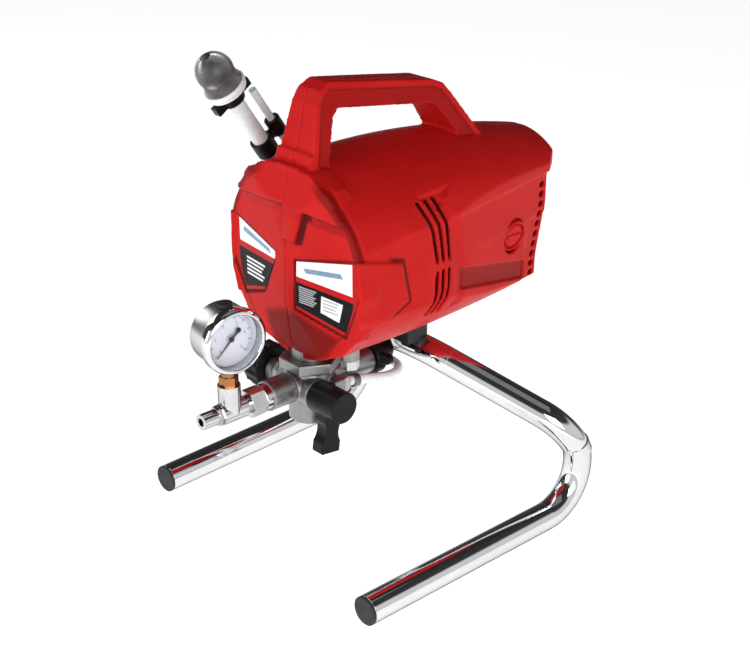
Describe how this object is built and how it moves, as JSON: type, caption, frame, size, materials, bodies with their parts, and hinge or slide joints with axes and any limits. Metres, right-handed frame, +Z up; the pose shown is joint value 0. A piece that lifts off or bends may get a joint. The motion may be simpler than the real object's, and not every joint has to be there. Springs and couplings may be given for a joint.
{
  "type": "airless paint sprayer",
  "caption": "Electric piston-pump paint sprayer in a moulded housing on a bent tube stand, with gauge, prime valve, pressure knob and raised suction tube.",
  "frame": {"origin": "on the floor below the middle of the whole object's box", "axes": "+Z up, -Y towards the outlet and the front of the sprayer, +X to the sprayer's right-hand side"},
  "size_m": [0.3098, 0.3696, 0.4068],
  "materials": {
    "red_plastic": "satin moulded",
    "zinc_steel": "zinc plated",
    "label_film": "printed film",
    "black_plastic": "fine texture",
    "rocker_red": "gloss",
    "black_rubber": "matt",
    "iron_core": "laminated",
    "copper_wire": "enamelled",
    "bearing_steel": "ground",
    "carbon": "matt",
    "cast_alloy": "bead blasted casting",
    "chrome_plate": "polished",
    "seal_white": "moulded",
    "clear_hose": "translucent",
    "strainer_mesh": "woven wire",
    "nickel_fitting": "nickel plated",
    "brass_fitting": "machined",
    "gauge_steel": "drawn stainless",
    "gauge_glass": "clear",
    "dial_white": "printed",
    "needle_black": "painted"
  },
  "bodies": {
    "frame": {"left_shell": "red_plastic", "right_shell": "red_plastic", "housing_screws": "zinc_steel", "brush_caps": "red_plastic", "label_plates": "label_film", "switch_frame": "black_plastic", "cord_gland": "black_rubber", "motor_can": "zinc_steel", "stator_core": "iron_core", "field_windings": "copper_wire", "bearings": "bearing_steel", "carbon_brushes": "carbon", "gear_case": "cast_alloy", "pump_body": "cast_alloy", "collar_nut": "cast_alloy", "packing_seal": "seal_white", "pump_bolts": "zinc_steel", "outlet_valve": "cast_alloy", "suction_port": "cast_alloy", "suction_elbow": "black_plastic", "suction_tube": "clear_hose", "strainer_cup": "strainer_mesh", "strainer_ring": "seal_white", "strainer_clip": "black_plastic", "tube_clip": "black_plastic", "return_tube": "clear_hose", "return_hose": "clear_hose", "hose_barb": "nickel_fitting", "hose_clamp": "zinc_steel", "regulator_body": "cast_alloy", "swivel_nut": "nickel_fitting", "outlet_tee": "nickel_fitting", "hose_nipple": "nickel_fitting", "gauge_stem": "brass_fitting", "gauge_case": "gauge_steel", "gauge_bezel": "chrome_plate", "gauge_lens": "gauge_glass", "gauge_dial": "dial_white", "filler_plug": "black_rubber", "stand_frame": "chrome_plate", "end_caps": "black_rubber", "stand_saddle": "cast_alloy"},
    "armature": {"armature_shaft": "bearing_steel", "armature_core": "iron_core", "commutator": "copper_wire", "cooling_fan": "black_plastic", "pinion": "bearing_steel"},
    "crank": {"crankshaft": "bearing_steel", "reduction_gear": "bearing_steel"},
    "piston": {"drive_yoke": "bearing_steel", "piston_rod": "chrome_plate"},
    "inlet_check": {"inlet_ball": "bearing_steel"},
    "outlet_check": {"outlet_ball": "bearing_steel"},
    "wing": {"wing_nut": "black_plastic"},
    "prime": {"prime_stem": "bearing_steel", "prime_knob": "black_plastic"},
    "regulator": {"regulator_knob": "black_plastic"},
    "plunger": {"regulator_plunger": "bearing_steel"},
    "needle": {"gauge_needle": "needle_black"},
    "rocker": {"switch_rocker": "rocker_red"}
  },
  "joints": [
    {"name": "armature_spin", "type": "hinge", "parent": "frame", "child": "armature", "pos_m": [0, 0.03275, 0.254], "axis": [0, 1, 0], "continuous": true},
    {"name": "crank_spin", "type": "hinge", "parent": "frame", "child": "crank", "pos_m": [0, -0.03725, 0.2165], "axis": [0, 1, 0], "continuous": true},
    {"name": "piston_stroke", "type": "slide", "parent": "frame", "child": "piston", "axis": [0, 0, 1], "range_m": [-0.01, 0.01]},
    {"name": "inlet_lift", "type": "slide", "parent": "frame", "child": "inlet_check", "axis": [0, 0, 1], "range_m": [0, 0.002]},
    {"name": "outlet_lift", "type": "slide", "parent": "frame", "child": "outlet_check", "axis": [0, -1, 0], "range_m": [0, 0.002]},
    {"name": "wing_nut_turn", "type": "hinge", "parent": "frame", "child": "wing", "pos_m": [0, -0.00225, 0.143], "axis": [0, -1, 0], "range_deg": [0, 40]},
    {"name": "prime_valve_turn", "type": "hinge", "parent": "frame", "child": "prime", "pos_m": [0.04, -0.08175, 0.142], "axis": [-1, 0, 0], "range_deg": [0, 90]},
    {"name": "pressure_knob_turn", "type": "hinge", "parent": "frame", "child": "regulator", "pos_m": [-0.047, -0.08025, 0.145], "axis": [-1, 0, 0], "range_deg": [0, 270]},
    {"name": "plunger_slide", "type": "slide", "parent": "frame", "child": "plunger", "axis": [1, 0, 0], "range_m": [0, 0.003]},
    {"name": "gauge_needle_turn", "type": "hinge", "parent": "frame", "child": "needle", "pos_m": [0, -0.15575, 0.212], "axis": [-0.9925, 0.1219, 0], "range_deg": [0, 270]},
    {"name": "switch_rock", "type": "hinge", "parent": "frame", "child": "rocker", "pos_m": [0, 0.17575, 0.233], "axis": [1, 0, 0], "range_deg": [0, 20]}
  ],
  "couplings": [
    {"joint": "crank_spin", "follows": "armature_spin", "ratio": -0.25},
    {"joint": "plunger_slide", "follows": "pressure_knob_turn", "m_per_rad": 0.00063661}
  ]
}
